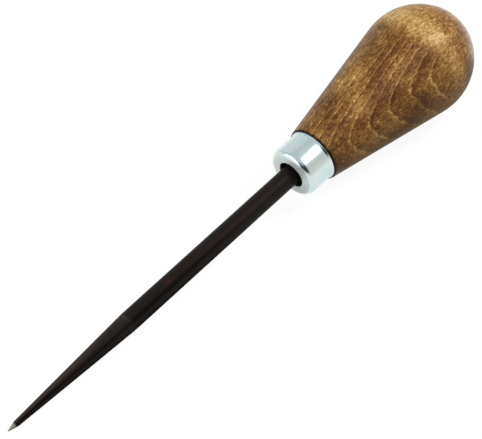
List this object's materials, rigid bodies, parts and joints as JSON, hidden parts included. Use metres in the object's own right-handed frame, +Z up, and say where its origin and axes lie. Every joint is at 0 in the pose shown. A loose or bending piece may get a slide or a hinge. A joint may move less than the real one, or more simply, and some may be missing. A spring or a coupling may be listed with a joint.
{
  "type": "bradawl",
  "caption": "Bradawl with a long tapered round blade, a flared steel ferrule and a pear-shaped turned wooden handle.",
  "frame": {"origin": "on the tool's axis, in the plane of the ferrule's face, where the blade leaves the ferrule", "axes": "+X along the tool's axis from the point to the butt, +Z up with the axis level, +Y completes the right-handed frame"},
  "size_m": [0.1893, 0.034, 0.034],
  "materials": {
    "blackened_steel": "oil-blackened, satin, ground bare at the point",
    "zinc_plate": "bright zinc plate",
    "stained_beech": "stained brown and lacquered, glossy"
  },
  "bodies": {
    "root": {"blade": "blackened_steel", "ferrule": "zinc_plate", "handle": "stained_beech"}
  },
  "joints": []
}
